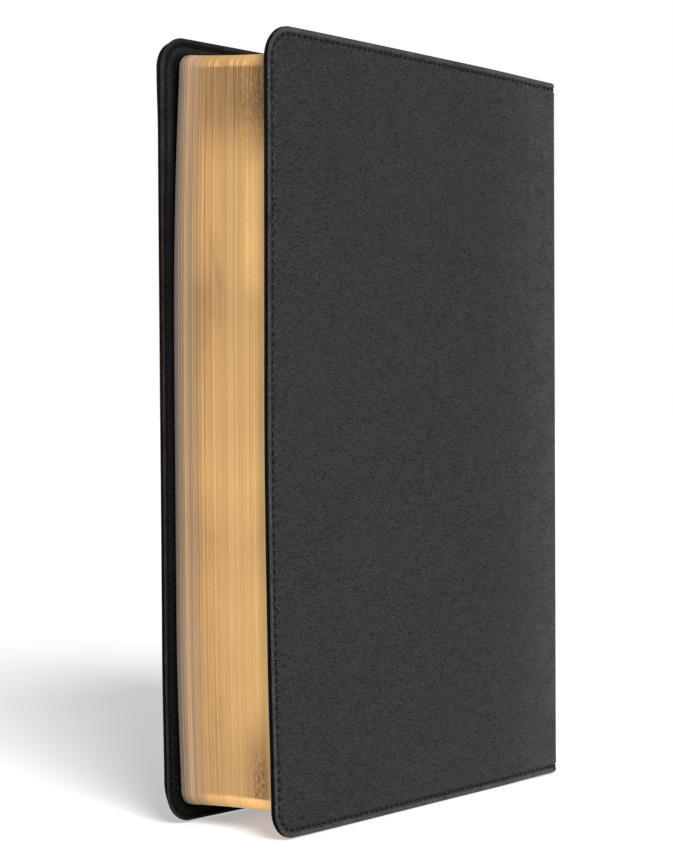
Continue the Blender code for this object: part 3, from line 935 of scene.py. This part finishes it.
# Distances along a leaf's outline, from the head of its fold, where its two round corners end.
HEAD_CORNER_END = BLOCK_HIGH.x - BLOCK_LOW.x - 0.3 * MM + (pi / 2 - 1) * BLOCK_CORNER
TAIL_CORNER_END = HEAD_CORNER_END - 2 * BLOCK_CORNER + BLOCK_HIGH.z - BLOCK_LOW.z
GOLD_STOPS = (
    (0.07, (0.19, 0.105, 0.042)), (0.31, (0.36, 0.205, 0.083)), (0.53, (0.52, 0.305, 0.12)),
    (0.75, (0.63, 0.376, 0.147)), (0.97, (0.88, 0.54, 0.21)),
)
PALE_STOPS = (
    (0.36, (0.12, 0.08, 0.048)), (0.46, (0.20, 0.127, 0.067)), (0.54, (0.235, 0.15, 0.079)),
    (0.64, (0.39, 0.26, 0.16)),
)
TINT_STOPS = ((0.38, (0.18, 0.133, 0.063)), (0.5, (0.242, 0.15, 0.084)), (0.62, (0.31, 0.185, 0.13)))
# Painted shade: the outermost leaves' edges, white paper in shade, drawn as a dull dark grey.
OUTERMOST_SHADE_COLOUR = (0.115, 0.095, 0.08, 1)
# Soft smudges and rubbed places up the height of the gilt: 0.5 is neither.
SMUDGES = (
    (0.0, 0.5), (0.29, 0.6), (0.33, 0.4), (0.37, 0.2), (0.405, 0.5), (0.445, 0.75), (0.5, 0.5),
    (0.59, 0.45), (0.63, 0.25), (0.665, 0.15), (0.695, 0.5), (0.75, 0.62), (0.82, 0.5),
)


def gilt_material():
    """Worn gilt on stacked leaf edges: fine lines from leaf to leaf and darker patches, with painted light
    near the rear cover, a painted highlight at the tail's round corner and painted shade on the outermost
    leaves.
    """
    n = material_nodes("gilt_leaf_edges")
    place = n.place()
    leaf = n.add("UVMap", "UV", uv_map="leaf")
    height, along, through = n.part(place, "Z"), n.part(leaf, "X"), n.part(leaf, "Y")
    lines = n.streaks(leaf, (6, 150, 1))
    groups = n.streaks(leaf, (2.5, 30, 1), roughness=0.5)
    speckle = n.streaks(leaf, (800, 56, 1))
    dashes = n.streaks(leaf, (70, 130, 1))
    patches = n.streaks(place, (14, 40, 17), 3, distortion=0.3)

    def up(low, high):
        """A look that comes in from one height to another, in metres."""
        return n.rise(height, low, high)

    def across(low, high):
        """The same, for shares of the way through the block from its rear."""
        return n.rise(through, low, high)

    # Darker at the head, most toward the rear cover, at the tail, in the rear tail corner, and in
    # scattered spots.
    rear = 1.0 - through
    at_head = up(0.190, 0.214)
    head = at_head * (rear * rear * 0.56 + 0.195)
    tail = up(0.036, 0.014) * (rear * 0.2 + 0.03)
    corner = up(0.04, 0.018) * across(0.4, 0.19) * across(0.07, 0.13)
    grain = (speckle - 0.5) * (across(0.46, 0.2) * 1.9 + 0.4)
    darkening = (head + (tail + corner * 0.38)) * (grain + 0.1 + dashes * 1.6).at_least(0.1)
    darkening = darkening + n.rise(patches * 0.8 + dashes * 0.35, 0.5, 0.34) * 0.16
    head_corner = n.rise(along, HEAD_CORNER_END, HEAD_CORNER_END - 0.4 * MM)
    tail_corner = n.rise(along, TAIL_CORNER_END, TAIL_CORNER_END + 0.8 * MM)
    darkening = darkening * (1.0 - head_corner.at_least(tail_corner))
    # Brighter toward the rear cover: painted light over the shade cast by the rear cover's overhang; and
    # brighter at the tail's round corner: a painted highlight.
    painted_light = across(0.44, 0.12) * 0.22 + across(0.14, 0.08) * 0.15
    painted_light = painted_light + up(0.115, 0.18) * across(0.34, 0.1) * 0.11
    painted_light = painted_light * (1.0 - at_head * 0.55 - head_corner).at_least(0.0) + tail_corner * 0.26
    tone = lines * 0.5 + groups * 0.3 + painted_light + patches * 0.3 + speckle * 0.12
    tone = tone - darkening - across(0.40, 0.7) * 0.14 - head_corner * 0.05
    stops = [(share, (grey, grey, grey)) for share, grey in SMUDGES]
    smudged = n.ramp(height * (1 / HEIGHT) + (patches - 0.5) * 0.1, stops)
    smear = up(0.121, 0.148) * up(0.166, 0.157) * across(0.6, 0.76)
    gold = n.ramp(tone + (smudged - 0.5) * 0.24 - smear * 0.1, GOLD_STOPS)
    # The loose leaves at the front are paler, and the outermost ones, white paper in shade, are painted a
    # dull dark grey: painted shade.
    stripes = n.streaks(leaf, (1.2, 75, 1), 1, 0.5) + (at_head * 0.09 + up(0.09, 0.055) * 0.1)
    tints = n.streaks(leaf, (1.0, 52, 4), 1, 0.5)
    loose = across(0.68, 0.86) * 0.88
    colour = n.mix(loose, gold, n.mix(0.45, n.ramp(stripes, PALE_STOPS), n.ramp(tints, TINT_STOPS)))
    colour = n.mix(across(0.92, 0.955) * 0.85, colour, OUTERMOST_SHADE_COLOUR)
    return n.finish(
        Base_Color=colour, Roughness=lines * 0.2 + 0.4, Metallic=0.55 - loose * 0.45,
        Normal=n.bump(lines, 0.00005, 0.5),
    )


def paper_material(name, colour, shade):
    """Thin paper with a faint cloudiness and a soft tooth."""
    n = material_nodes(name)
    cloud, tooth = n.noise(n.place(), 60, 4), n.noise(n.place(), 2500, 3)
    tone = n.ramp(cloud * 0.7 + tooth * 0.3, ((0.3, shade), (0.7, colour)))
    return n.finish(Base_Color=tone, Roughness=0.82, Normal=n.bump(tooth + cloud * 2.0, 0.00003, 0.5))


def thread_material(name, colour, shade, shine=0.4):
    """Twisted thread, its plies showing as fine slanting lines."""
    n = material_nodes(name)
    plies = n.wave(n.place(), 900.0, 2.0, 2.0, "DIAGONAL")
    return n.finish(
        Base_Color=n.ramp(plies, ((0.1, shade), (0.8, colour))), Roughness=0.7,
        Normal=n.bump(plies, 0.00008, 0.7), Specular_IOR_Level=shine,
    )


def weave_material(name, colour, shade):
    """Open-weave cloth stiffened with glue."""
    n = material_nodes(name)
    warp, weft = [n.wave(n.place(), 380.0, 0.4, 2.0, axis) for axis in "YZ"]
    weave = warp.at_least(weft)
    return n.finish(
        Base_Color=n.ramp(weave, ((0.3, shade), (0.8, colour))), Roughness=0.9,
        Normal=n.bump(weave, 0.0001, 0.8),
    )


# ---- the view: camera, lights and floor
WORLD_LOW, WORLD_HIGH = 0.12, 0.55
SUN_STRENGTH = 6.4
SUN_SOFTNESS = radians(25)
SUN_TRAVEL = Vector((0.4585, 0.7465, -0.482))
FLOOR_HALF, FLOOR_DROP = 30.0, 0.2 * MM
FLOOR_GLOW = 0.385
FLOOR_STOPS = ((0.3, (0.5, 0.5, 0.5)), (0.7, (0.51, 0.51, 0.51)))
WHITE = (1, 1, 1, 1)
LENS, SENSOR = 92.0, 36
CAMERA_PLACE = (-0.5576, -0.42235, 0.12217)
YAW, PITCH, ROLL = radians(38.11), radians(-0.446), radians(-0.217)


def make_camera():
    data = bpy.data.cameras.new("camera")
    data.lens, data.sensor_width, data.clip_start = LENS, SENSOR, 0.01
    camera = bpy.data.objects.new("camera", data)
    bpy.context.collection.objects.link(camera)
    ahead = Vector((cos(YAW) * cos(PITCH), sin(YAW) * cos(PITCH), sin(PITCH)))
    turn = ahead.to_track_quat("-Z", "Y").to_matrix().to_4x4()
    camera.matrix_world = Matrix.Translation(CAMERA_PLACE) @ turn @ Matrix.Rotation(ROLL, 4, "Z")
    bpy.context.scene.camera = camera


def make_world():
    """Light from above and all round, with a plain white backdrop behind the book."""
    world = bpy.data.worlds.new("studio")
    n = Nodes(world)
    height = n.part(n.add("TexCoord", "Generated"), "Z")
    rise = {"Value": height, "To Min": WORLD_LOW, "To Max": WORLD_HIGH}
    strength = n.add("MapRange", "Result", rise)
    light = n.add("Background", 0, {"Color": WHITE, "Strength": strength})
    backdrop = n.add("Background", 0, {"Color": WHITE})
    seen = n.add("LightPath", "Is Camera Ray")
    shown = n.add("MixShader", 0, {0: seen, 1: light, 2: backdrop})
    n.put(shown, n.tree.nodes["World Output"].inputs["Surface"])
    bpy.context.scene.world = world


def make_stage():
    bpy.context.scene.view_settings.view_transform = "Standard"
    make_world()
    points = [(x * FLOOR_HALF, y * FLOOR_HALF, 0) for x, y in ((-1, -1), (1, -1), (1, 1), (-1, 1))]
    n = material_nodes("pale_floor")
    pale = n.finish(
        Base_Color=n.ramp(n.noise(n.place(), 3, 3), FLOOR_STOPS), Roughness=1.0, Specular_IOR_Level=0.0,
        Emission_Color=WHITE, Emission_Strength=FLOOR_GLOW,
    )
    floor = mesh_object("floor", points, [(0, 1, 2, 3)], [pale])
    floor.location.z = -FLOOR_DROP
    light = bpy.data.lights.new("key", "SUN")
    light.energy, light.angle = SUN_STRENGTH, SUN_SOFTNESS
    sun = bpy.data.objects.new("key", light)
    sun.rotation_euler = SUN_TRAVEL.to_track_quat("-Z", "Y").to_euler()
    bpy.context.collection.objects.link(sun)


def main():
    leather = leather_material(
        "black_leather", (0.0004, 0.0004, 0.0004), (0.0196, 0.0196, 0.0199), (0.075, 0.075, 0.077),
        roughness=0.56, grain_depth=0.0006, shine=0.16,
    )
    # The lining's near-black, far darker than the cover, is partly its own black and partly painted shade
    # of the narrow gap between cover and block; the skin's edge and turned-in rim use it too, as edge ink
    # and painted shade.
    lining = leather_material(
        "black_lining", (0.0003, 0.0003, 0.0002), (0.0014, 0.0014, 0.001), (0.04, 0.04, 0.04),
        roughness=0.7, grain_depth=0.0002, shine=0.055,
    )
    thread = thread_material("black_thread", (0.004, 0.004, 0.004), (0.0015, 0.0015, 0.0015), 0.12)
    gilt = gilt_material()
    paper = paper_material("leaf_paper", (0.87, 0.84, 0.76), (0.80, 0.76, 0.67))
    endpaper = paper_material("endpaper", (0.90, 0.88, 0.82), (0.84, 0.81, 0.74))
    mull = weave_material("mull_cloth", (0.80, 0.77, 0.70), (0.50, 0.47, 0.40))
    linen = thread_material("linen_thread", (0.86, 0.83, 0.75), (0.60, 0.56, 0.48))
    band = thread_material("headband_thread", (0.10, 0.09, 0.09), (0.03, 0.03, 0.03))
    make_camera()
    make_stage()
    for cover, side in (("front_cover", 1), ("rear_cover", -1)):
        cover_skin(cover, side, leather, lining)
        cover_lining(cover, side, lining)
        cover_stitches(cover, side, thread)
        corner_folds(cover, side, leather)
    make_spine(leather, lining, thread)
    make_text_block(gilt, paper, endpaper)
    spine_layer("mull_skin", "spine_mull", mull)
    spine_layer("lining_paper_skin", "spine_lining_paper", endpaper)
    headband("headband_wound", "headband", band)
    headband("tailband_wound", "tailband", band)
    for node in ("front_sewing_thread", "rear_sewing_thread"):
        materials = frame["nodes"][node].data.materials
        materials.clear()
        materials.append(linen)


main()
